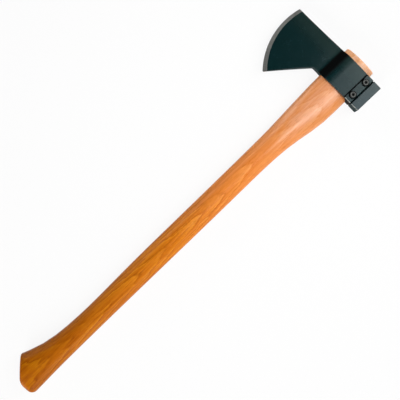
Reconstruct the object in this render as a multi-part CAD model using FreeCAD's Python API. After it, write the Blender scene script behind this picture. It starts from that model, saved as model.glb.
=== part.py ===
"""Forestry hatchet whose head is clamped on, with a separate hammer poll.

Seven pieces, each written to parts/NODE.step:

    axe_head             forging: bit, neck, two cheeks round the eye, and two ears behind it
    hammer_poll          striking block, with a tongue that fills the gap between the ears
    poll_screw_upper     socket head cap screw through ear, tongue and ear
    poll_screw_lower     the same screw, nearer the hand
    poll_washer_upper    plain washer between the upper screw's head and the ear
    poll_washer_lower    the same washer under the lower screw
    handle               shaped hickory stick with a slanted, rounded butt

Everything is drawn about the centre of the eye: X runs up the handle towards the head,
Y runs from the poll towards the cutting edge, Z runs through the thickness. The hatchet
lies on its side, so at the end all pieces are moved until the bottom centre of their
common box is the origin. Lengths are millimetres and angles degrees.
"""

import FreeCAD
import Part
import math
import os

from FreeCAD import Vector

# ---------------------------------------------------------------- driving dimensions

# Head, as one forging
head_top = 18.85             # X of the square top of cheeks, ears and poll block
neck_height = 38.0           # the underside slopes up a little, from the neck
poll_height = 36.75          # to the ears and the poll block
head_thickness = 28.0        # across the cheeks, the ears and the poll block
cheek_front = 3.0            # the cheeks are flat as far forward as this
top_front = 18.0             # and their top is square as far as this
flank_power = 1.7            # over 1, so they bulge before they fall away
neck_start = 26.0            # where they have run out into the neck
neck_half = 7.4              # half thickness of the neck
neck_corner = 32.7           # where the square underside turns into the beard
neck_corner_radius = 3.0
outline_chamfer = 0.55       # small chamfer along the edges of the head's outline

# Bit
edge_radius = 84.2           # the cutting edge, seen from the side, is an arc
edge_centre = (-4.0, 10.25)  # X and Y of its centre
toe_x = 16.8                 # X of the toe, the upper corner of the edge
heel_x = -64.1               # X of the heel, its lower corner
toe_radius = 1.0
heel_radius = 1.2
top_hollow = 0.45            # how far the top line of the bit sags inside its chord
beard_hollow = 0.4           # how far the beard line sags inside its chord
bevel_angle = 16.7           # of each ground bevel to the middle plane
edge_half = 0.1              # half thickness left at the sharpened edge
taper_shift = -1.2           # the forged taper ends on an arc struck a little nearer the heel
taper_radius = 79.35
taper_half = 1.45            # half thickness on that arc
taper_power = 1.35           # over 1, so the faces of the bit are slightly convex

# Eye, and the stick that fills it
eye_width = 20.0             # along Z
eye_back = -20.3             # its ends along Y
eye_front = 21.0
oval_end_share = 0.72        # radius of an oval's ends, as a share of its half thickness
face_rows = 34               # points along and across the faces of cheek flank and bit
face_columns = 10
fit_gap = 0.1                # between wood and steel all round
eye_rim = 0.5                # chamfer at both mouths of the eye

# Ears, their grooves, and the poll block
ear_gap = 18.0               # clear width between the ears
ear_end = -25.9              # rear ends of the ears
slot_front = -9.0            # the slot between the ears starts inside the eye
groove_y = -16.2             # a groove across each ear's root lets it flex
groove_width = 1.1
groove_depth = 2.0
shoulder_gap = 1.4           # stays open between the ears and the poll block
poll_face = -38.2            # the striking face
poll_chamfer = 0.6           # on the block's edges
tongue_gap = 0.1             # between the tongue and each ear
tongue_front = -15.5

# Screws, M4 x 28 socket head, each on a plain washer
screw_y = -21.3
screw_middle = 0.5           # height between the screws
screw_spacing = 20.0
screw_radius = 2.0
screw_length = 28.0
screw_hole_radius = 2.25     # in the upper ear and the tongue; the lower ear is tapped
screw_head_radius = 3.5
screw_head_height = 4.0
screw_head_chamfer = 0.4
screw_tip_chamfer = 0.5
socket_flats = 3.0
socket_depth = 2.0
socket_cone = 0.8            # depth of the drill cone under the socket
socket_mouth_radius = 2.1    # of the round recess at the socket's mouth
socket_mouth_depth = 0.4
washer_radius = 4.5
washer_hole_radius = 2.15
washer_thickness = 0.8

# Handle, as stations along it: X, back edge Y, front edge Y, half thickness
handle_stations = [
    (-530.0, -17.2, 41.0, 12.6),
    (-497.0, -16.7, 29.8, 12.6),
    (-478.0, -15.9, 22.4, 12.3),
    (-457.0, -15.3, 16.4, 11.9),
    (-430.0, -14.9, 13.2, 11.4),
    (-390.0, -14.5, 12.3, 11.0),
    (-340.0, -14.2, 13.7, 11.1),
    (-260.0, -13.9, 14.8, 11.3),
    (-170.0, -13.2, 15.6, 11.5),
    (-120.0, -13.5, 16.3, 11.7),
    (-98.0, -15.2, 17.1, 11.9),
    (-78.0, -18.2, 18.4, 12.0),
    (-60.0, -20.8, 19.4, 11.6),
    (-44.0, -21.5, 20.3, 10.9),
    (-19.4, -21.3, 21.1, 10.4),
]
handle_bands = 30            # the stick is ruled between this many even steps along it
seat_x = -19.4               # the shoulder, above which the stick has the section of the eye
handle_top = 26.35           # its end stands above the head
top_dome = 480.0             # radius of the slightly domed end
top_crown_y = -13.0          # where it is highest
top_round = 1.0
butt_x = -511.4              # the square part of the butt
butt_slant_front = (-486.8, 28.5)      # the front of the butt is cut on the slant
butt_slant_rear = 3.0
butt_middle_radius = 14.0
butt_heel_y = -17.2
butt_heel_radius = 7.5
butt_round = 3.5

# ---------------------------------------------------------------- derived sizes

neck_bottom = head_top - neck_height
ear_bottom = head_top - poll_height
half_thickness = head_thickness / 2
shoulder_y = ear_end - shoulder_gap
edge_top_y = edge_centre[1] + edge_radius
beyond = 60.0                # how far a cutting body runs past what it cuts


# ---------------------------------------------------------------- shared helpers

def line(start, end):
    return Part.LineSegment(start, end).toShape()


def sagged(start, end, sag, direction):
    """Arc from start to end whose middle is moved by sag in the given direction."""
    middle = (start + end) * 0.5 + direction * sag
    return Part.Arc(start, middle, end).toShape()


def box(low, high):
    size = Vector(*high) - Vector(*low)
    return Part.makeBox(size.x, size.y, size.z, Vector(*low))


def upright_edges(solid, point):
    """Edges of a prism that stand upright at the given point of its plan."""
    found = []
    for edge in solid.Edges:
        ends = [vertex.Point for vertex in edge.Vertexes]
        if len(ends) == 2 and abs(ends[0].z - ends[1].z) > 1.0:
            if math.hypot(ends[0].x - point.x, ends[0].y - point.y) < 0.01:
                found.append(edge)
    return found


def prism(wire, corners):
    """Prism through the head's thickness over a flat wire, with (point, radius) corners."""
    face = Part.Face(wire)
    face.translate(Vector(0, 0, -half_thickness))
    solid = face.extrude(Vector(0, 0, head_thickness))
    for point, radius in corners:
        solid = solid.makeFillet(radius, upright_edges(solid, point))
    return solid


def spaced(start, end, count):
    return [start + (end - start) * index / (count - 1) for index in range(count)]


def oval(x, back, front, half, grow=0.0):
    """Closed oval across the handle at height x, of four arcs that run smoothly together."""
    centre = (front + back) / 2
    reach_y = (front - back) / 2 + grow
    reach_z = half + grow
    end_radius = reach_z * oval_end_share
    end_y = reach_y - end_radius
    side_radius = (end_y**2 + reach_z**2 - end_radius**2) / (2 * (reach_z - end_radius))
    turn = math.acos(end_y / (side_radius - end_radius))
    join_y = end_y + end_radius * math.cos(turn)
    join_z = end_radius * math.sin(turn)
    ring = [(join_y, -join_z), (reach_y, 0), (join_y, join_z), (0, reach_z),
            (-join_y, join_z), (-reach_y, 0), (-join_y, -join_z), (0, -reach_z), (join_y, -join_z)]
    points = [Vector(x, centre + y, z) for y, z in ring]
    return Part.Wire([Part.Arc(*points[start:start + 3]).toShape() for start in (0, 2, 4, 6)])


def eye_oval(x, grow=0.0):
    return oval(x, eye_back, eye_front, eye_width / 2, grow)


def eye_body(low, high, grow=0.0):
    """Solid with the section of the eye, from height low to height high."""
    return Part.Face(eye_oval(low, grow)).extrude(Vector(high - low, 0, 0))


def screw_heights():
    return {"upper": screw_middle + screw_spacing / 2, "lower": screw_middle - screw_spacing / 2}


def screw_holes(radius, low, high):
    """Both screws' holes, from z = low to z = high."""
    holes = [Part.makeCylinder(radius, high - low, Vector(x, screw_y, low))
             for x in screw_heights().values()]
    return holes[0].fuse(holes[1])


# ---------------------------------------------------------------- head

def edge_point(x):
    """Point of the cutting edge at height x."""
    rise = math.sqrt(edge_radius**2 - (x - edge_centre[0])**2)
    return Vector(x, edge_centre[1] + rise, 0)


def side_view(corners=True):
    """The head's outline from the side, as a prism, with or without rounded toe and heel."""
    ear_high = Vector(head_top, ear_end, 0)
    ear_low = Vector(ear_bottom, ear_end, 0)
    cheek_high = Vector(head_top, top_front, 0)
    neck = Vector(neck_bottom, neck_corner, 0)
    toe = edge_point(toe_x)
    heel = edge_point(heel_x)
    into_beard = Vector(neck.y - heel.y, heel.x - neck.x, 0).normalize()
    wire = Part.Wire([
        line(ear_high, cheek_high),
        sagged(cheek_high, toe, top_hollow, Vector(-1, 0, 0)),
        Part.Arc(toe, edge_point((toe_x + heel_x) / 2), heel).toShape(),
        sagged(heel, neck, beard_hollow, -into_beard),
        line(neck, ear_low),
        line(ear_low, ear_high),
    ])
    rounded = [(toe, toe_radius), (heel, heel_radius)] if corners else []
    return prism(wire, rounded + [(neck, neck_corner_radius)])


def half_at(x, y):
    """Half thickness of the forging at a point of its side view."""
    if y < neck_start:
        part = ((y - cheek_front) / (neck_start - cheek_front)) ** flank_power
        return half_thickness - (half_thickness - neck_half) * math.sin(part * math.pi / 2) ** 2
    from_neck = y - neck_start
    reach = math.hypot(x - edge_centre[0] - taper_shift, y - edge_centre[1])
    part = from_neck / (from_neck + taper_radius - reach)
    return neck_half - (neck_half - taper_half) * part ** taper_power


def above_the_forging():
    """Body of everything above the upper face of cheek flank, neck and bit."""
    grid = [[Vector(x, y, half_at(x, y)) for y in spaced(cheek_front, edge_top_y + 4, face_rows)]
            for x in spaced(heel_x - 4, head_top + 4, face_columns)]
    face = Part.BSplineSurface()
    face.interpolate(grid)
    return face.toShape().extrude(Vector(0, 0, head_thickness))


def outline_edges(solid):
    """Edges where a side of the outline meets cheek, ear, neck or bit, all but the cutting edge."""
    found = []
    for edge in solid.Edges:
        middle = edge.valueAt((edge.FirstParameter + edge.LastParameter) / 2)
        slopes = [abs(face.normalAt(*face.Surface.parameter(middle)).z)
                  for face in solid.ancestorsOfType(edge, Part.Face)]
        if min(slopes) < 0.05 and max(slopes) > 0.3 and edge.BoundBox.YMax < edge_top_y - 1:
            found.append(edge)
    return found


def bevels():
    """Double cone that grinds both bevels down to the cutting edge, and spares the rear."""
    run = (half_thickness - edge_half) / math.tan(math.radians(bevel_angle))
    profile = [(0, half_thickness), (edge_radius - run, half_thickness), (edge_radius, edge_half)]
    upper = [Vector(edge_centre[0], edge_centre[1] + radius, z) for radius, z in profile]
    loop = upper + [Vector(p.x, p.y, -p.z) for p in reversed(upper)]
    face = Part.Face(Part.makePolygon(loop + loop[:1]))
    spared = box([-beyond, -beyond, -half_thickness], [beyond, neck_start, half_thickness])
    return face.revolve(upper[0], Vector(0, 0, 1), 360).fuse(spared)


def relief_grooves():
    """A groove across the root of each ear, cut in from the outer face."""
    low = [neck_bottom - 1, groove_y - groove_width / 2, half_thickness - groove_depth]
    high = [head_top + 1, groove_y + groove_width / 2, half_thickness + 1]
    return both_sides(box(low, high))


def both_sides(solid):
    return solid.fuse(solid.mirror(Vector(0, 0, 0), Vector(0, 0, 1)))


def eye_and_slot():
    """Through hole for the stick, open at the rear between the ears."""
    low, high = neck_bottom - 1, head_top + 1
    slot = box([low, poll_face, -ear_gap / 2], [high, slot_front, ear_gap / 2])
    return eye_body(low, high).fuse(slot)


def eye_mouths():
    """Chamfers round the eye where it opens at the top and at the bottom."""
    cutters = [Part.makeLoft([eye_oval(face + out * eye_rim, 2 * eye_rim), eye_oval(face - out * eye_rim)],
                             True, True)
               for face, out in ((head_top, 1), (neck_bottom, -1))]
    return cutters[0].fuse(cutters[1])


def axe_head():
    forging = side_view(corners=False)
    forging = forging.cut(both_sides(above_the_forging())).Solids[0]
    forging = forging.makeChamfer(outline_chamfer, outline_edges(forging))
    forging = forging.common(side_view())
    forging = forging.common(bevels())
    forging = forging.cut(relief_grooves())
    forging = forging.cut(eye_and_slot())
    forging = forging.cut(eye_mouths())
    forging = forging.cut(screw_holes(screw_hole_radius, 0, half_thickness + 1))
    return forging.cut(screw_holes(screw_radius, -half_thickness - 1, 0))


# ---------------------------------------------------------------- poll block

def block_edges(block):
    """All the block's edges but the two that run along Z beside the gap."""
    return [edge for edge in block.Edges
            if edge.BoundBox.YMax < shoulder_y - 0.001 or edge.BoundBox.ZLength < 0.001]


def hammer_poll():
    """Striking block, with a tongue between the ears that is hollowed to the stick's back."""
    block = box([ear_bottom, poll_face, -half_thickness], [head_top, shoulder_y, half_thickness])
    block = block.makeChamfer(poll_chamfer, block_edges(block))
    tongue_half = ear_gap / 2 - tongue_gap
    tongue = box([ear_bottom, shoulder_y - 1, -tongue_half], [head_top, tongue_front, tongue_half])
    block = block.fuse(tongue).removeSplitter()
    block = block.cut(eye_body(neck_bottom, head_top + 1))
    return block.cut(screw_holes(screw_hole_radius, -half_thickness, half_thickness))


# ---------------------------------------------------------------- screws

def hexagon(flats, centre):
    corner = flats / math.sqrt(3)
    points = [centre + Vector(corner * math.cos(turn), corner * math.sin(turn), 0)
              for turn in [math.pi / 3 * side for side in range(7)]]
    return Part.Face(Part.makePolygon(points))


def round_edges(solid, z):
    """Closed circular edges of a turned solid in the plane at height z."""
    return [edge for edge in solid.Edges
            if edge.BoundBox.ZLength < 0.001 and abs(edge.BoundBox.ZMin - z) < 0.001]


def poll_washer(x):
    """Plain washer on the upper ear, round the screw at height x."""
    at = Vector(x, screw_y, half_thickness)
    disc = Part.makeCylinder(washer_radius, washer_thickness, at)
    return disc.cut(Part.makeCylinder(washer_hole_radius, washer_thickness, at))


def poll_screw(x):
    """Socket head cap screw standing on its washer at height x."""
    seat = half_thickness + washer_thickness
    top = seat + screw_head_height
    tip = seat - screw_length
    at = Vector(x, screw_y, 0)
    head = Part.makeCylinder(screw_head_radius, screw_head_height, at + Vector(0, 0, seat))
    head = head.makeChamfer(screw_head_chamfer, round_edges(head, top))
    shank = Part.makeCylinder(screw_radius, screw_length, at + Vector(0, 0, tip))
    shank = shank.makeChamfer(screw_tip_chamfer, round_edges(shank, tip))
    floor = top - socket_depth
    socket = hexagon(socket_flats, at + Vector(0, 0, floor)).extrude(Vector(0, 0, socket_depth + 1))
    cone = Part.makeCone(0, socket_flats / 2, socket_cone, at + Vector(0, 0, floor - socket_cone))
    mouth = Part.makeCylinder(socket_mouth_radius, 1, at + Vector(0, 0, top - socket_mouth_depth))
    return head.fuse(shank).removeSplitter().cut(socket.fuse(cone)).cut(mouth)


# ---------------------------------------------------------------- handle

def stick_view():
    """Side view of the stick as a prism, wide except at the butt, which is cut on the slant."""
    front = Vector(*butt_slant_front, 0)
    middle = Vector(butt_x, butt_slant_rear, 0)
    heel = Vector(butt_x, butt_heel_y, 0)
    past_heel = butt_x + 3 * butt_heel_radius
    past_top = handle_top + beyond
    wide = [Vector(front.x, beyond, 0), Vector(past_top, beyond, 0), Vector(past_top, -beyond, 0),
            Vector(past_heel, -beyond, 0), Vector(past_heel, butt_heel_y, 0)]
    wire = Part.makePolygon([heel, middle, front] + wide + [heel])
    return prism(Part.Wire(wire), [(heel, butt_heel_radius), (middle, butt_middle_radius)])


def rim(solid, low, high):
    """Edges between heights low and high, without those that run straight across in Z."""
    found = []
    for edge in solid.Edges:
        span = edge.BoundBox
        across = span.XLength < 0.01 and span.YLength < 0.01
        if span.XMin > low and span.XMax < high and not across:
            found.append(edge)
    return found


def stick_top():
    """The stick inside and above the head, with its end slightly domed and rounded."""
    top = eye_body(seat_x, handle_top + 1, -fit_gap)
    top = top.common(Part.makeSphere(top_dome, Vector(handle_top - top_dome, top_crown_y, 0)))
    return top.makeFillet(top_round, rim(top, head_top, handle_top + 1))


def stick_curves():
    """Smooth curves of back edge, front edge and half thickness, each a function of X."""
    heights = [station[0] for station in handle_stations]
    curves = []
    for column in (1, 2, 3):
        curve = Part.BSplineCurve()
        points = [Vector(station[0], station[column], 0) for station in handle_stations]
        curve.interpolate(Points=points, Parameters=heights)
        curves.append(curve)
    return curves


def handle():
    """Lofted stick, with the section of the eye where it passes through the head."""
    curves = stick_curves()
    sections = [oval(x, *[curve.value(x).y for curve in curves])
                for x in spaced(handle_stations[0][0], seat_x, handle_bands + 1)]
    stick = Part.makeLoft(sections, True, True).common(stick_view())
    stick = stick.makeFillet(butt_round, rim(stick, butt_x - 1, butt_slant_front[0] + 12))
    stick = stick.fuse(stick_top())
    return stick.cut(screw_holes(screw_hole_radius, -half_thickness, half_thickness))


def stand(solids):
    """Move every solid so that the bottom centre of the whole hatchet is the origin."""
    middle_x = (butt_x + handle_top) / 2
    middle_y = (poll_face + edge_top_y) / 2
    for solid in solids.values():
        solid.translate(Vector(-middle_x, -middle_y, half_thickness))


def main():
    solids = {"axe_head": axe_head(), "hammer_poll": hammer_poll(), "handle": handle()}
    for place, x in screw_heights().items():
        solids[f"poll_screw_{place}"] = poll_screw(x)
        solids[f"poll_washer_{place}"] = poll_washer(x)
    stand(solids)
    os.makedirs("parts", exist_ok=True)
    for name, solid in solids.items():
        print(name, solid.isValid(), len(solid.Solids), len(solid.Faces), round(solid.Volume))
        solid.Solids[0].exportStep(f"parts/{name}.step")


main()
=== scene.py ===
"""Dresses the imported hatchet: black forged head with a ground bit, bolted hammer poll, hickory handle.

Laid out as an add-on, with one operator for each piece or group of like pieces and one for the
studio round it. Run as a script, it makes everything in order. All lengths are metres.
"""

import math

import bmesh
import bpy
from bpy.props import FloatProperty, FloatVectorProperty, IntProperty, PointerProperty
from mathutils import Matrix, Vector


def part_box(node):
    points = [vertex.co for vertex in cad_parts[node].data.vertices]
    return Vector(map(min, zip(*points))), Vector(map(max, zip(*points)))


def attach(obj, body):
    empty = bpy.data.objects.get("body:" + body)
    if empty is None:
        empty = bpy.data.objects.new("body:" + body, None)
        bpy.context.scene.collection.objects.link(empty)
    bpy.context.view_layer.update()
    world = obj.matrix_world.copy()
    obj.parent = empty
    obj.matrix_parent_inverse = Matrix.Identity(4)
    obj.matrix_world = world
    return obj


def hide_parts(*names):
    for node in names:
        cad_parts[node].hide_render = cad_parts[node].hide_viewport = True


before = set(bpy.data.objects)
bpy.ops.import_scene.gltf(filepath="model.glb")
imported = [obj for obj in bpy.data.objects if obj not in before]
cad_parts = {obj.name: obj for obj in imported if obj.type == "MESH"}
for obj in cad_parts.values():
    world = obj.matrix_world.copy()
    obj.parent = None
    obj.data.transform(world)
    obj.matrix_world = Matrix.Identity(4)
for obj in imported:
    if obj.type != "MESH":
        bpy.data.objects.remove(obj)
bpy.context.view_layer.update()

bl_info = {
    "name": "Hatchet with bolted poll",
    "version": (1, 0, 0),
    "blender": (4, 5, 0),
    "location": "View3D > Sidebar > Hatchet",
    "description": "Finishes for a forged hatchet head, its poll block, screws and hickory handle",
    "category": "Object",
}

SCREWS = ("poll_screw_upper", "poll_screw_lower")
WASHERS = ("poll_washer_upper", "poll_washer_lower")
HEAD_LOW, HEAD_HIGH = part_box("axe_head")
HANDLE_LOW, HANDLE_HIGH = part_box("handle")
MIDDLE = (HEAD_LOW.z + HEAD_HIGH.z) / 2    # height of the hatchet's middle plane

MERGE_GAP = 1e-6                   # vertices closer than this are one
SMOOTH_ANGLE = math.radians(28)    # an edge that turns less than this is smooth
NEAR = 1e-5                        # slack for a face that lies on a limit
UPRIGHT = 0.15                     # a face stands upright if its normal's Z is less than this
FACING = 0.5                       # a face looks along an axis if its normal has more than this on it
BIT_REACH = 0.85                   # the bit begins at this share of the cutting edge's radius

# Strength of the dark late wood and of the pale early wood at places across one growth ring.
LATE_WOOD = [(0.0, 1.0), (0.05, 0.75), (0.14, 0.0), (0.75, 0.08), (0.97, 0.45), (1.0, 1.0)]
EARLY_WOOD = [(0.0, 0.0), (0.1, 0.2), (0.2, 1.0), (0.5, 0.0)]

# Soft lamps: name, setting that holds the power, place, width and height, point it faces, spread in degrees.
LAMPS = (
    ("key_lamp", "key_power", (-0.5, -1.45, 0.75), (1.2, 0.7), (0.0, 0.0, MIDDLE), 180),
    ("top_panel", "top_power", (0.98, -0.47, 1.45), (1.0, 0.9), (0.98, -0.46, 0.0), 180),
    ("side_panel", "side_power", (1.5, -0.5, 1.0), (0.8, 0.8), (0.22, 0.0, MIDDLE), 180),
    ("front_lamp", "front_power", (0.28, 0.95, 0.50), (0.9, 0.5), (0.30, 0.0, MIDDLE), 50),
    ("neck_lamp", "neck_power", (0.26, -0.40, 1.35), (0.45, 0.40), (0.16, -0.008, MIDDLE), 30),
    ("butt_lamp", "butt_power", (-1.35, -0.4, 0.9), (0.9, 0.9), (0.0, 0.0, MIDDLE), 180),
)
WHITE = (1.0, 1.0, 1.0, 1.0)


# ---------------------------------------------------------------- settings

def length(name, description, default):
    return FloatProperty(name=name, description=description, default=default, unit="LENGTH", precision=5)


def lengths(name, description, default):
    return FloatVectorProperty(name=name, description=description, default=default, size=len(default),
                               unit="LENGTH", precision=5)


def share(name, description, default):
    return FloatProperty(name=name, description=description, default=default, min=0.0, max=1.0,
                         subtype="FACTOR")


def number(name, description, default):
    return FloatProperty(name=name, description=description, default=default)


def numbers(name, description, default):
    return FloatVectorProperty(name=name, description=description, default=default, size=len(default))


def power(name, description, default):
    return FloatProperty(name=name, description=description, default=default, min=0.0, unit="POWER")


def angle(name, description, degrees):
    return FloatProperty(name=name, description=description, default=math.radians(degrees), subtype="ANGLE")


def colour(name, description, default):
    return FloatVectorProperty(name=name, description=description, default=default, size=3, subtype="COLOR",
                               min=0.0, max=1.0)


class HatchetSteel(bpy.types.PropertyGroup):
    """Black coating of head and poll, the bare steel of the ground bit, and the painted shade and painted
    highlights on them.
    """

    coating: colour("Coating", "Colour of the black coating", (0.0004, 0.0138, 0.0148))
    coating_light: colour("Coating, lighter patches", "Colour where the coating is thinner",
                          (0.0010, 0.0158, 0.0170))
    # Painted light: the coating is made lighter towards the head's top line, where more light falls.
    top_light: colour("Thin coating", "What is added to the coating's colour at the head's top line",
                    (0.0105, 0.0115, 0.0080))
    top_light_start: length("Thin start", "X where the coating begins to thin towards the top line", 0.234)
    coating_sheen: colour("Coating sheen", "Tint of what the coating mirrors", (0.85, 0.97, 1.0))
    coating_roughness: share("Coating roughness", "Mean roughness of the coating", 0.25)
    side_roughness: share("Side roughness", "Mean roughness of the trimmed sides of the outline", 0.75)
    side_gloss: share("Side gloss", "Specular level of the trimmed sides of the outline", 0.15)
    patch_size: length("Patch size", "Size of the faint patches in the coating", 0.008)
    speck_size: length("Speck size", "Size of the fine tooth of the coating", 0.0006)
    poll: colour("Poll coating", "Colour of the poll block's coating", (0.0200, 0.0355, 0.0400))
    poll_light: colour("Poll coating, lighter patches", "Colour where the poll's coating is thinner",
                       (0.0235, 0.0395, 0.0440))
    # Painted highlight: light patches along the edges of the ears and the poll that face -X.
    edge_highlight: colour("Worn edge", "Colour of the long edge beside the poll where the coating is worn through",
                 (0.24, 0.245, 0.225))
    # Painted shade: near-black on the faces of the groove, the slot and the gaps, and in the dull black of
    # the shade bands.
    inner: colour("Inner black", "Colour deep in the groove, the slot and the gap", (0.0008, 0.0012, 0.0012))
    shade_roughness: share("Inner roughness", "Roughness of the black across the hollows of the cheek", 0.8)
    shade_gloss: share("Inner gloss", "Specular level of the black across the hollows of the cheek", 0.05)
    groove: lengths("Groove", "Y of the relief groove's middle, and its half width",
                    (HEAD_LOW.y + 0.0097, 0.0006))
    slot: lengths("Slot", "How far the slot reaches past the groove's middle, and its depth under the cheek",
                  (0.007, 0.0049))
    # Painted shade: bands of dull black across the foot of the cheek and across the relief groove, where
    # shade falls.
    foot_shade: lengths("Hollow", "Y places where the black across the cheek's foot begins, is full, begins to "
                    "end and is gone", (-0.0170, -0.0120, -0.0053, -0.0023))
    groove_shade: lengths("Groove shade", "The same Y places of the black across the relief groove",
                          tuple(HEAD_LOW.y + place for place in (0.0087, 0.0090, 0.0104, 0.0107)))
    shoulder_gap: length("Shoulder gap", "Open gap between the ears and the poll block", 0.0014)
    bare: colour("Bare steel", "Colour of the ground bevels", (0.29, 0.293, 0.278))
    bare_shade: share("Bare steel, shaded", "What that colour is multiplied by in the grinding marks", 0.72)
    bare_metal: share("Bare metal", "Share of the bevels' light that is mirrored and not scattered", 0.75)
    bare_roughness: share("Bare roughness", "Mean roughness of the ground bevels", 0.38)
    grind_mark: lengths("Grinding marks", "Width, length and height of the fine grinding marks",
                        (0.0005, 0.02, 0.01))
    grind_streak: lengths("Grinding streaks", "Width and length of the broad streaks", (0.006, 0.02))
    bevel_slope_low: angle("Least bevel slope", "Faces of the bit that lean more are ground", 13)
    bevel_slope_high: angle("Greatest bevel slope", "Faces of the bit that lean less are ground", 25)
    edge_centre: lengths("Edge centre", "X and Y of the centre of the cutting edge's arc",
                         (HEAD_HIGH.x - 0.02285, HEAD_HIGH.y - 0.0842))


class HatchetFasteners(bpy.types.PropertyGroup):
    """Screws and washers of the poll."""

    rib_count: IntProperty(name="Knurl ribs", description="Ribs round each screw head", default=44, min=8)
    rib_depth: length("Rib depth", "How far a knurl rib stands out", 0.00010)
    rib_foot: length("Rib foot", "Height of a screw head's underside over the screw's lower end", 0.028)
    rib_top: length("Plain top", "Height at the top of the head that has no ribs", 0.0007)
    # The worn ring is a painted highlight: a ring of each screw head's top in bright metal, with the rest of
    # the screw in its own black oxide.
    oxide: colour("Worn screw oxide", "Colour of the blackened screws where worn", (0.115, 0.122, 0.112))
    screw_black: colour("Screw oxide", "Colour of the blackened screws elsewhere", (0.004, 0.005, 0.005))
    washer: colour("Washer oxide", "Colour of the blackened washers", (0.0010, 0.0015, 0.0015))
    highlight_ring: lengths("Worn rim", "Distances from a screw's axis where the worn ring of its head begins, is full, "
                 "begins to end and is gone", (0.0021, 0.0024, 0.0025, 0.0028))
    turning_pitch: length("Turning pitch", "Spacing of the turned rings on a screw's end", 0.0004)


class HatchetWood(bpy.types.PropertyGroup):
    """Hickory of the handle. A place along it is a share of its length from the butt."""

    # From butt to neck the tones grow lighter: partly the hickory's own colour, partly painted shade towards
    # the butt.
    butt: colour("Butt colour", "Colour of the wood at the butt", (0.46, 0.120, 0.0015))
    middle: colour("Middle colour", "Colour of the wood at mid length", (0.70, 0.200, 0.010))
    waist: colour("Waist colour", "Colour of the wood at the narrow waist", (0.84, 0.265, 0.055))
    neck: colour("Neck colour", "Colour of the wood below the head", (0.79, 0.300, 0.103))
    top: colour("Top colour", "Colour of the wood at the end above the head", (0.98, 0.46, 0.19))
    tone_places: numbers("Tone places", "Places of the butt, middle and waist colours, of the neck colour's "
                         "two ends and of the top colour", (0.03, 0.45, 0.65, 0.82, 0.92, 0.98))
    late_tint: colour("Late wood tint", "What the wood's colour is multiplied by in late wood at the butt",
                      (0.58, 0.46, 0.25))
    late_neck: colour("Late wood tint, neck", "What it is multiplied by at the neck", (0.89, 0.69, 0.36))
    pale_lift: numbers("Pale wood", "What early wood multiplies the butt's colour by", (1.22, 1.55, 1.9))
    pale_neck: numbers("Pale wood, neck", "What it multiplies the neck's colour by", (1.06, 1.20, 1.25))
    tint_places: numbers("Tint places", "Places between which the butt's tints turn into the neck's",
                         (0.35, 0.80))
    pore_tint: colour("Pore tint", "What the wood's colour is multiplied by in pores", (0.55, 0.38, 0.15))
    # The pale band along the top of the neck is partly sapwood and partly painted highlight.
    sapwood_and_highlight: numbers("Sapwood", "What the pale sapwood multiplies the colour by", (1.06, 1.33, 2.35))
    pale_band_y: length("Sapwood middle", "Y of the middle of the sapwood along the neck", -0.0300)
    pale_band_places: numbers("Sapwood places", "Places where the sapwood begins and where it shows in full",
                            (0.70, 0.80))
    pale_band_half: lengths("Sapwood half width", "Half width where the sapwood begins and at the handle's end",
                          (0.002, 0.023))
    pale_band_edge: numbers("Sapwood edge", "Shares of the half width where it begins to fade and is gone",
                          (0.45, 1.15))
    pale_band_stray: lengths("Sapwood stray", "How far the ripple and the wander move the sapwood's edge",
                           (0.012, 0.01))
    ring_width: length("Ring width", "Thickness of a growth ring", 0.0024)
    ring_slope: number("Ring slope", "How steeply the rings run out along the handle", 0.05)
    pith_depth: length("Pith depth", "Distance of the tree's pith below the handle", 0.075)
    pith_side: length("Pith offset", "Distance of the pith to the edge side", 0.004)
    waviness: length("Waviness", "How far the rings wander", 0.0022)
    fibre_width: length("Fibre width", "Width of the fine streaks", 0.0011)
    roughness: share("Roughness", "Mean roughness under the lacquer", 0.30)
    gloss: share("Gloss", "Specular level of the wood under the lacquer", 0.18)
    sheen: colour("Sheen", "Tint of the wood's own reflection", (1.0, 0.80, 0.55))
    lacquer: share("Lacquer", "Weight of the clear lacquer on the grip", 0.03)
    lacquer_neck: share("Lacquer, neck", "Weight of the clear lacquer on the neck", 0.7)
    lacquer_places: numbers("Lacquer places", "Places where the neck's lacquer begins and where it is full",
                            (0.68, 0.84))
    lacquer_roughness: share("Lacquer roughness", "Roughness of the clear lacquer", 0.27)


class HatchetStudio(bpy.types.PropertyGroup):
    """Camera, lamps, floor and room."""

    distance: length("Camera height", "Camera's distance above the middle plane", 1.34)
    camera_at: lengths("Camera place", "Camera's X and Y over the hatchet", (0.024725, -0.0160))
    roll: angle("Roll", "Turn of the camera about its own axis", -43.65)
    field: length("Field", "Width seen at the hatchet's middle plane", 0.46)
    key_power: power("Key power", "Power of the wide lamp low on the poll side", 6.7)
    top_power: power("Top power", "Power of the high panel that faces down beyond the head", 9.9)
    side_power: power("Side power", "Power of the far panel beyond the head", 7.8)
    front_power: power("Front power", "Power of the low lamp on the edge side of the head", 0.5)
    neck_power: power("Neck power", "Power of the narrow lamp that glosses the handle's neck", 0.15)
    butt_power: power("Butt power", "Power of the soft lamp beyond the butt", 20.0)
    sky: share("Sky", "Strength of the dim room round the studio", 0.04)
    backdrop_top: numbers("Backdrop top", "Sines of the heights where the white backdrop begins to fade "
                          "and where it ends", (0.1, 0.35))
    floor_size: length("Floor size", "Side of the square floor", 12.0)
    floor_height: length("Floor height", "Height of the floor, just under the hatchet", -0.0002)
    paper: colour("Floor colour", "Colour of the floor that takes the shadow", (0.9, 0.9, 0.9))
    floor_glow: share("Floor glow", "Share of the floor's white that the camera sees without shadow", 0.9)


GROUPS = {"hatchet_steel": HatchetSteel, "hatchet_fasteners": HatchetFasteners,
          "hatchet_wood": HatchetWood, "hatchet_studio": HatchetStudio}


# ---------------------------------------------------------------- node trees as expressions

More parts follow.
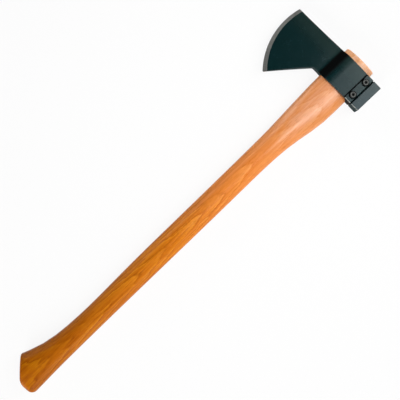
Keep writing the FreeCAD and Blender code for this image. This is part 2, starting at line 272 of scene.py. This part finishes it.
class Socket:
    """An output socket that Python arithmetic works on, adding one Math node for each step."""

    def __init__(self, graph, output):
        self.graph = graph
        self.output = output

    def __add__(self, other):
        return self.graph.math("ADD", self, other)

    def __sub__(self, other):
        return self.graph.math("SUBTRACT", self, other)

    def __rsub__(self, other):
        return self.graph.math("SUBTRACT", other, self)

    def __mul__(self, other):
        return self.graph.math("MULTIPLY", self, other)

    def __truediv__(self, other):
        return self.graph.math("DIVIDE", self, other)

    def __rtruediv__(self, other):
        return self.graph.math("DIVIDE", other, self)

    def __abs__(self):
        return self.graph.math("ABSOLUTE", self)

    __radd__ = __add__
    __rmul__ = __mul__

    def above(self, low, high):
        """0 up to low, 1 from high on, and a smooth step between."""
        settings = {"interpolation_type": "SMOOTHSTEP"}
        return self.graph.node("ShaderNodeMapRange", settings, {0: self, 1: low, 2: high})

    def within(self, places):
        """A band given by the four places where it begins, is full, begins to end and is gone."""
        return self.above(*places[:2]) - self.above(*places[2:])


class Graph:
    """A node tree. One method makes any node."""

    def __init__(self, tree):
        self.tree = tree

    def node(self, kind, settings=None, sockets=None, output=0):
        """Makes a node, sets its settings first and its sockets next, and returns the output asked for,
        or a list of outputs if a list is asked for. A socket that takes several links is given a list."""
        made = self.tree.nodes.new(kind)
        for name, value in (settings or {}).items():
            if name == "stops":
                self.stops(made.color_ramp, value)
            else:
                setattr(made, name, value)
        for key, value in (sockets or {}).items():
            for entry in (value if isinstance(value, list) else [value]):
                if isinstance(entry, Socket):
                    self.tree.links.new(entry.output, made.inputs[key])
                else:
                    made.inputs[key].default_value = entry
        if isinstance(output, list):
            return [Socket(self, made.outputs[one]) for one in output]
        return Socket(self, made.outputs[output]) if made.outputs else None

    @staticmethod
    def stops(ramp, stops):
        """Gives a colour ramp its stops, each a place and a grey or a colour."""
        while len(ramp.elements) > 1:
            ramp.elements.remove(ramp.elements[-1])
        for index, (place, value) in enumerate(stops):
            stop = ramp.elements[0] if index == 0 else ramp.elements.new(place)
            stop.position = place
            stop.color = (value, value, value, 1) if isinstance(value, float) else (*value, 1)

    def math(self, operation, *values):
        return self.node("ShaderNodeMath", {"operation": operation}, dict(enumerate(values)))

    def point(self):
        """The shaded point in the object's own coordinates."""
        return self.node("ShaderNodeTexCoord", output="Object")

    def axes(self, vector):
        return self.node("ShaderNodeSeparateXYZ", None, {0: vector}, [0, 1, 2])

    def vector(self, x, y, z):
        return self.node("ShaderNodeCombineXYZ", None, {0: x, 1: y, 2: z})

    def distance(self, x, y):
        """Length of the flat vector from the origin to x and y."""
        return self.math("SQRT", x * x + y * y)

    def noise(self, vector, detail=2.0, roughness=0.5):
        """Soft noise about 0.5 whose cells are one unit of vector across."""
        sockets = {"Vector": vector, "Scale": 1.0, "Detail": detail, "Roughness": roughness}
        return self.node("ShaderNodeTexNoise", None, sockets)

    def grain(self, point, density, detail=2.0, roughness=0.5):
        """Noise at a point of the object, with density cells to a metre on every axis or on each."""
        density = density if isinstance(density, tuple) else (density,) * 3
        scaled = self.node("ShaderNodeVectorMath", {"operation": "MULTIPLY"}, {0: point, 1: density})
        return self.noise(scaled, detail, roughness)

    def ramp(self, place, stops):
        return self.node("ShaderNodeValToRGB", {"stops": stops}, {0: place})

    def mix(self, factor, first, second, blend="MIX"):
        """Blends two colours."""
        settings = {"data_type": "RGBA", "blend_type": blend}
        first, second = (value if isinstance(value, Socket) else (*value, 1) for value in (first, second))
        return self.node("ShaderNodeMix", settings, {0: factor, 6: first, 7: second}, 2)

    def bump(self, height, distance, strength):
        sockets = {"Height": height, "Distance": distance, "Strength": strength}
        return self.node("ShaderNodeBump", None, sockets)

    def surface(self, sockets):
        return self.node("ShaderNodeBsdfPrincipled", None, sockets)

    def end(self, surface):
        """Ends a material's graph in this surface."""
        self.node("ShaderNodeOutputMaterial", None, {"Surface": surface})


def about(mean, *parts):
    """A value that strays about its mean. Each part is a pattern from 0 to 1 and the span it adds."""
    low = mean - sum(span for pattern, span in parts) / 2
    return sum((pattern * span for pattern, span in parts), low)


def material(name):
    """A new material with an empty graph."""
    made = bpy.data.materials.new(name)
    made.use_nodes = True
    made.node_tree.nodes.clear()
    return made, Graph(made.node_tree)


# ---------------------------------------------------------------- finishes

def coated_steel(name, deep, light, roughness, specular=0.5, shade_bands=()):
    """Satin black coating with faint patches and a fine tooth, made lighter towards the head's top line as
    painted light. Across each shade band, given by the four Y places of its band, it is mixed into dull black
    as painted shade."""
    values = bpy.context.scene.hatchet_steel
    made, graph = material(name)
    point = graph.point()
    patches = graph.grain(point, 1 / values.patch_size, 3.0, 0.55).above(0.35, 0.68)
    tooth = graph.grain(point, 1 / values.speck_size, 1.0)
    x, y, _ = graph.axes(point)
    tone = graph.mix(patches * 0.7 + tooth * 0.3, deep, light)
    surface = graph.surface({
        # Painted light: lighter towards the head's top line (high X).
        "Base Color": graph.mix(x.above(values.top_light_start, HEAD_HIGH.x), tone, values.top_light, "ADD"),
        "Roughness": about(roughness, (patches, 0.03), (tooth, 0.06)),
        "Specular IOR Level": specular,
        "Specular Tint": (*values.coating_sheen, 1),
        "Normal": graph.bump(tooth, distance=0.000006, strength=0.5),
    })
    # Painted shade: each band is mixed into dull black.
    if shade_bands:
        shade_surface = graph.surface({
            "Base Color": (*values.inner, 1),
            "Roughness": values.shade_roughness,
            "Specular IOR Level": values.shade_gloss,
        })
        inside = sum(y.within(places) for places in shade_bands)
        surface = graph.node("ShaderNodeMixShader", None, {0: inside, 1: surface, 2: shade_surface})
    graph.end(surface)
    return made


def painted_shade_black(name):
    """Painted shade: dull black for faces deep in narrow gaps, where shade falls."""
    made, graph = material(name)
    tooth = graph.grain(graph.point(), density=1500.0, detail=1.0)
    graph.end(graph.surface({
        "Base Color": (*bpy.context.scene.hatchet_steel.inner, 1),
        "Roughness": about(0.85, (tooth, 0.1)),
        "Specular IOR Level": 0.1,
    }))
    return made


def highlight_steel(name):
    """Painted highlight: patches of light bare steel over the poll's coating along an edge, where the edge
    catches the light.
    """
    values = bpy.context.scene.hatchet_steel
    made, graph = material(name)
    highlit = graph.grain(graph.point(), density=900.0).above(0.25, 0.48)
    graph.end(graph.surface({
        "Base Color": graph.mix(highlit, values.poll, values.edge_highlight),
        "Metallic": highlit,
        "Roughness": 0.45 - highlit * 0.15,
    }))
    return made


def ground_steel(name):
    """Bare steel with grinding marks that run square to the cutting edge."""
    values = bpy.context.scene.hatchet_steel
    made, graph = material(name)
    x, y, z = graph.axes(graph.point())
    across, outward = x - values.edge_centre[0], y - values.edge_centre[1]
    turn = graph.math("ARCTAN2", across, outward)
    reach = graph.distance(across, outward)
    along_edge = turn * (HEAD_HIGH.y - values.edge_centre[1])
    mark_width, mark_length, mark_height = values.grind_mark
    streak_width, streak_length = values.grind_streak
    marks = graph.noise(
        graph.vector(along_edge / mark_width, reach / mark_length, z / mark_height), 2.0, 0.6)
    streaks = graph.noise(graph.vector(along_edge / streak_width, reach / streak_length, 0.0))
    shade = marks.above(0.3, 0.7) * 0.55 + streaks * 0.45
    darker = tuple(values.bare_shade * channel for channel in values.bare)
    graph.end(graph.surface({
        "Base Color": graph.mix(shade, darker, values.bare),
        "Metallic": values.bare_metal,
        "Roughness": about(values.bare_roughness, (marks, 0.12)),
        "Normal": graph.bump(marks, distance=0.00001, strength=0.7),
    }))
    return made


def blackened_steel(name, oxide, roughness, specular=0.5, highlight_rim=False):
    """Oxidised steel with turned rings round its own axis, kept in the attribute from_axis. With
    highlight_rim it paints a highlight: a ring of the head's top in bright metal of this oxide's colour, and
    the rest in the screws' own black."""
    values = bpy.context.scene.hatchet_fasteners
    made, graph = material(name)
    from_axis = graph.node("ShaderNodeAttribute", {"attribute_name": "from_axis"}, output="Fac")
    rings = graph.math("SINE", from_axis * (2 * math.pi / values.turning_pitch)) * 0.5 + 0.5
    grains = graph.grain(graph.point(), density=2500.0)
    lighter = tuple(min(1.0, 1.5 * channel) for channel in oxide)
    tone = graph.mix(rings * 0.35 + grains * 0.5, oxide, lighter)
    metallic = 0.0
    # Painted highlight: a bright metal ring on the head's top.
    if highlight_rim:
        metallic = from_axis.within(values.highlight_ring)
        tone = graph.mix(metallic, values.screw_black, tone)
    graph.end(graph.surface({
        "Base Color": tone,
        "Metallic": metallic,
        "Specular IOR Level": specular,
        "Roughness": about(roughness, (grains, 0.12)),
        "Normal": graph.bump(rings * 0.5 + grains * 0.5, distance=0.00001, strength=0.5),
    }))
    return made


def hickory(name):
    """Lacquered hickory: nested rings that run out along the handle, fibres, pores, flecks, and a pale band
    on the neck that is partly sapwood and partly painted highlight.
    """
    values = bpy.context.scene.hatchet_wood
    made, graph = material(name)
    point = graph.point()
    x, y, z = graph.axes(point)
    along = (x - HANDLE_LOW.x) / (HANDLE_HIGH.x - HANDLE_LOW.x)

    def figure(lengthwise, crosswise, detail, roughness=0.5):
        """Noise with this many cells to a metre along the handle and across it."""
        return graph.grain(point, (lengthwise, crosswise, crosswise), detail, roughness)

    fibre = 1 / values.fibre_width
    fibres = figure(fibre / 30, fibre, 3.0, 0.6)
    wander = figure(14.0, 55.0, 2.0) - 0.5
    ripple = figure(50.0, 300.0, 3.0, 0.6) - 0.5
    patchy = figure(18.0, 70.0, 1.0).above(0.38, 0.62)
    streaks = figure(14.0, 480.0, 3.0, 0.62)
    dashes = figure(75.0, 1000.0, 1.0).above(0.66, 0.76)
    pores = figure(170.0, 2400.0, 1.0).above(0.63, 0.72)

    side = y - (HANDLE_LOW.y + HANDLE_HIGH.y) / 2 - values.pith_side
    depth = z + (values.pith_depth - MIDDLE)
    strayed = wander * (2 * values.waviness) + ripple * (1.1 * values.waviness)
    strayed += (fibres - 0.5) * (0.25 * values.waviness)
    grown = graph.distance(side, depth) - x * values.ring_slope + strayed
    ring = graph.math("FRACT", grown / values.ring_width)
    late = graph.ramp(ring, LATE_WOOD)
    early = graph.ramp(ring, EARLY_WOOD)

    tones = (values.butt, values.middle, values.waist, values.neck, values.neck, values.top)
    # Lighter from butt to neck: the wood's own colour, partly painted shade.
    base = graph.ramp(along, list(zip(values.tone_places, tones)))
    to_neck = along.above(*values.tint_places)
    pale = graph.mix(1.0, base, graph.mix(to_neck, values.pale_lift, values.pale_neck), "MULTIPLY")
    deep = graph.mix(1.0, base, graph.mix(to_neck, values.late_tint, values.late_neck), "MULTIPLY")
    dark = graph.mix(1.0, base, values.pore_tint, "MULTIPLY")
    toned = base
    for amount, shade in (
            (early * (patchy * 0.6 + 0.3), pale),
            (late * (patchy * 0.5 + 0.4), deep),
            ((fibres - 0.35) * 0.7, deep),
            (streaks.above(0.50, 0.68) * 0.45, deep),
            ((1 - streaks.above(0.30, 0.48)) * 0.45, pale),
            (dashes * 0.4, dark),
            (pores * 0.35, dark)):
        toned = graph.mix(amount, toned, shade)

    # Pale band along the neck's top: partly sapwood, partly painted highlight.
    start = values.pale_band_places[0]
    narrow, wide = values.pale_band_half
    past_start = graph.math("MAXIMUM", along - start, 0.0)
    half = past_start * ((wide - narrow) / (1 - start)) + narrow
    ripple_stray, wander_stray = values.pale_band_stray
    from_middle = abs(y - values.pale_band_y + ripple * ripple_stray + wander * wander_stray)
    inside = 1 - (from_middle / half).above(*values.pale_band_edge)
    sapwood_and_highlight = inside * along.above(*values.pale_band_places)
    pale_band_tone = graph.mix(1.0, toned, values.sapwood_and_highlight, "MULTIPLY")
    toned = graph.mix(sapwood_and_highlight * (0.75 - fibres * 0.3), toned, pale_band_tone)

    facing = graph.axes(graph.node("ShaderNodeNewGeometry", output="True Normal"))[0]
    end_grain = abs(facing).above(0.6, 0.95)
    toned = graph.mix(end_grain * 0.35, toned, deep)
    lacquered = along.above(*values.lacquer_places)
    graph.end(graph.surface({
        "Base Color": toned,
        "Roughness": about(values.roughness, (fibres, 0.14)),
        "Specular IOR Level": values.gloss,
        "Specular Tint": (*values.sheen, 1),
        "Coat Weight": lacquered * (values.lacquer_neck - values.lacquer) + values.lacquer,
        "Coat Roughness": values.lacquer_roughness,
        "Normal": graph.bump(fibres * 0.6 - pores * 0.8, distance=0.00006, strength=0.5),
    }))
    return made


# ---------------------------------------------------------------- meshes from the frame

def merged_copy(node, name, smooth_angle=None):
    """A closed copy of a CAD node's mesh. Its own normals are kept, or made smooth up to an angle."""
    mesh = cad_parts[node].data.copy()
    mesh.name = name
    mesh.materials.clear()
    normals = [tuple(normal.vector) for normal in mesh.corner_normals]
    corners_before = len(mesh.loops)
    for extra in ("custom_normal", "sharp_edge", "sharp_face"):
        if extra in mesh.attributes:
            mesh.attributes.remove(mesh.attributes[extra])
    work = bmesh.new()
    work.from_mesh(mesh)
    bmesh.ops.remove_doubles(work, verts=work.verts, dist=MERGE_GAP)
    work.to_mesh(mesh)
    work.free()
    mesh.update()
    mesh.polygons.foreach_set("use_smooth", [True] * len(mesh.polygons))
    if smooth_angle is not None:
        mesh.set_sharp_from_angle(angle=smooth_angle)
    elif len(mesh.loops) == corners_before:
        mesh.normals_split_custom_set(normals)
    else:
        raise RuntimeError(f"{node}: merging changed the number of corners")
    return mesh


def place_mesh(name, mesh, finishes):
    """Puts a mesh in the scene as a piece with these materials, at the origin."""
    piece = bpy.data.objects.new(name, mesh)
    bpy.context.scene.collection.objects.link(piece)
    mesh.materials.clear()
    for finish in finishes:
        mesh.materials.append(finish)
    return piece


def hand_over(piece, slot, *nodes):
    """Lets a piece ride on the hatchet's one body and stand for CAD nodes."""
    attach(piece, "root")
    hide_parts(*nodes)


# ---------------------------------------------------------------- head and poll

class HATCHET_OT_axe_head(bpy.types.Operator):
    """Forged head: black coating, with bare steel on the two ground bevels"""

    bl_idname = "hatchet.axe_head"
    bl_label = "Axe head"

    def execute(self, context):
        values = context.scene.hatchet_steel
        tones = (values.coating, values.coating_light)
        mesh = merged_copy("axe_head", "axe_head_finished")
        piece = place_mesh("axe_head_finished", mesh, [
            coated_steel("head_coating", *tones, values.coating_roughness,
                         shade_bands=(values.foot_shade, values.groove_shade)),
            ground_steel("bit_steel"),
            coated_steel("head_sides", *tones, values.side_roughness, values.side_gloss),
            painted_shade_black("head_inside"),
            highlight_steel("ear_worn_edge"),
        ])
        bit, sides, inside, edge_highlight = range(1, len(mesh.materials))
        groove, groove_half = values.groove
        slot_reach, slot_depth = values.slot
        flattest = math.cos(values.bevel_slope_low)
        steepest = math.cos(values.bevel_slope_high)
        centre = Vector(values.edge_centre)
        bit_from = BIT_REACH * (HEAD_HIGH.y - centre.y)
        for face in mesh.polygons:
            at, leaning = face.center, abs(face.normal.z)
            depth = HEAD_HIGH.z - MIDDLE - abs(at.z - MIDDLE)
            in_groove = abs(at.y - groove) < groove_half and depth > NEAR
            in_slot = at.y < groove + slot_reach and depth > slot_depth and leaning > FACING
            ear_end = at.y < HEAD_LOW.y + NEAR
            # Faces in the groove, in the slot and at the ear's end get painted shade.
            if in_groove or in_slot or ear_end:
                face.material_index = inside
            elif steepest < leaning < flattest and (at.xy - centre).length > bit_from:
                face.material_index = bit
            elif leaning < UPRIGHT:
                face.material_index = sides
            # Ear edges that face -X get the painted highlight.
            elif face.normal.x < -FACING and at.y < groove:
                face.material_index = edge_highlight
        hand_over(piece, "head_steel", "axe_head")
        return {"FINISHED"}


class HATCHET_OT_hammer_poll(bpy.types.Operator):
    """Square striking block with its tongue"""

    bl_idname = "hatchet.hammer_poll"
    bl_label = "Hammer poll"

    def execute(self, context):
        values = context.scene.hatchet_steel
        mesh = merged_copy("hammer_poll", "hammer_poll_finished")
        piece = place_mesh("hammer_poll_finished", mesh, [
            coated_steel("poll_coating", values.poll, values.poll_light, values.coating_roughness),
            coated_steel("poll_sides", values.coating, values.coating_light, values.side_roughness,
                         values.side_gloss),
            painted_shade_black("poll_inside"),
            highlight_steel("poll_worn_edge"),
        ])
        sides, inside, edge_highlight = range(1, len(mesh.materials))
        for face in mesh.polygons:
            # Faces at the shoulder gap get painted shade.
            if face.center.y > HEAD_LOW.y - values.shoulder_gap - NEAR:
                face.material_index = inside
            elif abs(face.normal.z) < UPRIGHT:
                face.material_index = sides
            # Edges that face -X get the painted highlight.
            elif face.normal.x < -FACING:
                face.material_index = edge_highlight
        hand_over(piece, "poll_steel", "hammer_poll")
        return {"FINISHED"}


# ---------------------------------------------------------------- screws and washers

def fastener_tree(name, finish, ribbed):
    """Nodes that set one turned part on the axis of each fastener, with knurl ribs if asked."""
    tree = bpy.data.node_groups.new(name, "GeometryNodeTree")
    inputs = {"Geometry": "Geometry", "Part": "Object", "Count": "Int", "Spacing": "Float", "Ribs": "Int",
              "Rib Radius": "Float", "Rib Depth": "Float", "Rib Height": "Float", "Rib Middle": "Float"}
    for label, kind in inputs.items():
        tree.interface.new_socket(label, in_out="INPUT", socket_type=f"NodeSocket{kind}")
    tree.interface.new_socket("Geometry", in_out="OUTPUT", socket_type="NodeSocketGeometry")
    graph = Graph(tree)
    given = dict(zip(inputs, graph.node("NodeGroupInput", output=list(inputs))))

    part = graph.node("GeometryNodeObjectInfo", None, {"Object": given["Part"]}, "Geometry")
    place = graph.axes(graph.node("GeometryNodeInputPosition"))
    turned = graph.node(
        "GeometryNodeStoreNamedAttribute", {"data_type": "FLOAT", "domain": "POINT"},
        {"Geometry": part, "Name": "from_axis", "Value": graph.distance(*place[:2])})
    if ribbed:
        rib = graph.node(
            "GeometryNodeMeshCone", None,
            {"Vertices": 4, "Radius Top": given["Rib Depth"], "Radius Bottom": given["Rib Depth"],
             "Depth": given["Rib Height"]}, "Mesh")
        ring = graph.node(
            "GeometryNodeMeshCircle", None, {"Vertices": given["Ribs"], "Radius": given["Rib Radius"]})
        lift = graph.vector(0.0, 0.0, given["Rib Middle"] - given["Rib Height"] / 2)
        ring = graph.node("GeometryNodeSetPosition", None, {"Geometry": ring, "Offset": lift})
        turn = graph.node(
            "FunctionNodeAlignRotationToVector", {"axis": "X", "pivot_axis": "Z"},
            {"Vector": graph.node("GeometryNodeInputPosition")})
        ribs = graph.node(
            "GeometryNodeInstanceOnPoints", None, {"Points": ring, "Instance": rib, "Rotation": turn})
        ribs = graph.node(
            "GeometryNodeStoreNamedAttribute", {"data_type": "FLOAT", "domain": "INSTANCE"},
            {"Geometry": ribs, "Name": "from_axis", "Value": given["Rib Radius"]})
        turned = graph.node("GeometryNodeJoinGeometry", None, {"Geometry": [ribs, turned]})
    step = graph.vector(given["Spacing"], 0.0, 0.0)
    axes = graph.node("GeometryNodeMeshLine", {"mode": "OFFSET"}, {"Count": given["Count"], "Offset": step})
    placed = graph.node("GeometryNodeInstanceOnPoints", None, {"Points": axes, "Instance": turned})
    real = graph.node("GeometryNodeRealizeInstances", None, {"Geometry": placed})
    done = graph.node("GeometryNodeSetMaterial", None, {"Geometry": real, "Material": finish})
    graph.node("NodeGroupOutput", None, {"Geometry": done})
    return tree


def repeat_fastener(name, nodes, finish, ribbed):
    """Makes one plain mesh of all like fasteners: the last node's shape, set on each one's axis."""
    values = bpy.context.scene.hatchet_fasteners
    centres = [sum(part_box(node), Vector()) / 2 for node in nodes]
    low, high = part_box(nodes[-1])
    origin = centres[-1]
    mesh = merged_copy(nodes[-1], name + "_part", SMOOTH_ANGLE)
    mesh.transform(Matrix.Translation(-origin))
    part = bpy.data.objects.new(name + "_part", mesh)
    holder = bpy.data.objects.new(name, bpy.data.meshes.new(name))
    for thing in (part, holder):
        bpy.context.scene.collection.objects.link(thing)
    rib_low = low.z + values.rib_foot
    rib_high = high.z - values.rib_top
    sizes = {"Part": part, "Count": len(nodes), "Spacing": centres[0].x - origin.x,
             "Ribs": values.rib_count, "Rib Radius": (high.x - low.x) / 2, "Rib Depth": values.rib_depth,
             "Rib Height": rib_high - rib_low, "Rib Middle": (rib_high + rib_low) / 2 - origin.z}
    tree = fastener_tree(name + "_tree", finish, ribbed)
    modifier = holder.modifiers.new(name, "NODES")
    modifier.node_group = tree
    for item in tree.interface.items_tree:
        if item.in_out == "INPUT" and item.name in sizes:
            modifier[item.identifier] = sizes[item.name]
    bpy.context.view_layer.update()
    evaluated = holder.evaluated_get(bpy.context.evaluated_depsgraph_get())
    made = bpy.data.meshes.new_from_object(evaluated)
    if not made.polygons:
        raise RuntimeError(f"{name}: the node tree made no faces")
    holder.modifiers.remove(modifier)
    made.transform(Matrix.Translation(origin))
    holder.data = made
    bpy.data.objects.remove(part)
    return holder


class HATCHET_OT_poll_screws(bpy.types.Operator):
    """Two socket head cap screws with knurled heads, made by Geometry Nodes"""

    bl_idname = "hatchet.poll_screws"
    bl_label = "Poll screws"

    def execute(self, context):
        oxide = context.scene.hatchet_fasteners.oxide
        finish = blackened_steel("screw_oxide", oxide, roughness=0.34, highlight_rim=True)
        piece = repeat_fastener("poll_screws", SCREWS, finish, ribbed=True)
        hand_over(piece, "screw_steel", *SCREWS)
        return {"FINISHED"}


class HATCHET_OT_poll_washers(bpy.types.Operator):
    """Plain washers under the screw heads, made by Geometry Nodes"""

    bl_idname = "hatchet.poll_washers"
    bl_label = "Poll washers"

    def execute(self, context):
        oxide = context.scene.hatchet_fasteners.washer
        finish = blackened_steel("washer_oxide", oxide, roughness=0.85, specular=0.05)
        piece = repeat_fastener("poll_washers", WASHERS, finish, ribbed=False)
        hand_over(piece, "washer_steel", *WASHERS)
        return {"FINISHED"}


# ---------------------------------------------------------------- handle

class HATCHET_OT_handle(bpy.types.Operator):
    """Curved hickory handle"""

    bl_idname = "hatchet.handle"
    bl_label = "Handle"

    def execute(self, context):
        mesh = merged_copy("handle", "handle_finished", SMOOTH_ANGLE)
        piece = place_mesh("handle_finished", mesh, [hickory("hickory")])
        hand_over(piece, "hickory", "handle")
        return {"FINISHED"}


# ---------------------------------------------------------------- studio

def soft_lamp(name, power, place, size, target, spread):
    """A rectangular soft lamp at place that faces target."""
    data = bpy.data.lights.new(name, "AREA")
    data.shape = "RECTANGLE"
    data.size, data.size_y = size
    data.energy = power
    data.spread = math.radians(spread)
    lamp = bpy.data.objects.new(name, data)
    lamp.location = place
    lamp.rotation_euler = (Vector(target) - Vector(place)).to_track_quat("-Z", "Y").to_euler()
    bpy.context.scene.collection.objects.link(lamp)


def background_rays(graph):
    """Two sockets: 1 for rays from the camera, and 1 for mirrored and transmitted rays."""
    kinds = ["Is Camera Ray", "Is Glossy Ray", "Is Transmission Ray"]
    camera, glossy, transmission = graph.node("ShaderNodeLightPath", output=kinds)
    return camera, graph.math("MAXIMUM", glossy, transmission)


def studio_floor():
    """Plain white floor that keeps the object's shadow."""
    values = bpy.context.scene.hatchet_studio
    half, height = values.floor_size / 2, values.floor_height
    corners = [(x * half, y * half, height) for x, y in ((-1, -1), (1, -1), (1, 1), (-1, 1))]
    mesh = bpy.data.meshes.new("studio_floor")
    mesh.from_pydata(corners, [], [(0, 1, 2, 3)])
    made, graph = material("studio_white")
    camera, mirrored = background_rays(graph)
    paper = graph.node("ShaderNodeBsdfDiffuse", None, {"Color": (*values.paper, 1)})
    glow = graph.node("ShaderNodeEmission", None, {"Color": WHITE, "Strength": 1.0})
    glowing = (camera + mirrored) * values.floor_glow
    graph.end(graph.node("ShaderNodeMixShader", None, {0: glowing, 1: paper, 2: glow}))
    place_mesh("studio_floor", mesh, [made])


def studio_room():
    """Room that is white to the camera. Mirrored rays see a white backdrop under a dim ceiling."""
    values = bpy.context.scene.hatchet_studio
    world = bpy.data.worlds.new("studio_room")
    world.use_nodes = True
    world.node_tree.nodes.clear()
    graph = Graph(world.node_tree)
    height = graph.axes(graph.node("ShaderNodeTexCoord", output="Generated"))[2]
    camera, mirrored = background_rays(graph)
    white = camera + mirrored * (1 - height.above(*values.backdrop_top))
    strength = white * (1 - values.sky) + values.sky
    room = graph.node("ShaderNodeBackground", None, {"Color": WHITE, "Strength": strength})
    graph.node("ShaderNodeOutputWorld", None, {"Surface": room})
    bpy.context.scene.world = world


class HATCHET_OT_studio(bpy.types.Operator):
    """Floor, room, soft lamps and the camera that looks straight down"""

    bl_idname = "hatchet.studio"
    bl_label = "Studio"

    def execute(self, context):
        values = context.scene.hatchet_studio
        studio_floor()
        studio_room()
        for name, setting, *aim in LAMPS:
            soft_lamp(name, getattr(values, setting), *aim)
        data = bpy.data.cameras.new("camera")
        data.lens = data.sensor_width * values.distance / values.field
        camera = bpy.data.objects.new("camera", data)
        camera.location = (*values.camera_at, MIDDLE + values.distance)
        camera.rotation_euler = (0.0, 0.0, values.roll)
        context.scene.collection.objects.link(camera)
        context.scene.camera = camera
        context.scene.view_settings.view_transform = "Standard"
        return {"FINISHED"}


# ---------------------------------------------------------------- panel and registration

class HATCHET_PT_panel(bpy.types.Panel):
    """Lists the hatchet's operators and settings"""

    bl_idname = "HATCHET_PT_panel"
    bl_label = "Hatchet"
    bl_space_type = "VIEW_3D"
    bl_region_type = "UI"
    bl_category = "Hatchet"

    def draw(self, context):
        for operator in OPERATORS:
            self.layout.operator(operator.bl_idname)
        for name, group in GROUPS.items():
            column = self.layout.column(align=True)
            for prop in group.__annotations__:
                column.prop(getattr(context.scene, name), prop)


OPERATORS = (HATCHET_OT_axe_head, HATCHET_OT_hammer_poll, HATCHET_OT_poll_screws, HATCHET_OT_poll_washers,
             HATCHET_OT_handle, HATCHET_OT_studio)


def register():
    """Registers the settings, the operators and the panel."""
    for name, group in GROUPS.items():
        bpy.utils.register_class(group)
        setattr(bpy.types.Scene, name, PointerProperty(type=group))
    for kind in (*OPERATORS, HATCHET_PT_panel):
        bpy.utils.register_class(kind)


def unregister():
    """Takes away what register added."""
    for kind in (HATCHET_PT_panel, *reversed(OPERATORS)):
        bpy.utils.unregister_class(kind)
    for name, group in GROUPS.items():
        delattr(bpy.types.Scene, name)
        bpy.utils.unregister_class(group)


def main():
    """Makes the studio and every piece."""
    register()
    bpy.ops.hatchet.studio()
    bpy.ops.hatchet.axe_head()
    bpy.ops.hatchet.hammer_poll()
    bpy.ops.hatchet.poll_screws()
    bpy.ops.hatchet.poll_washers()
    bpy.ops.hatchet.handle()
    bpy.context.view_layer.update()


if __name__ == "__main__":
    main()
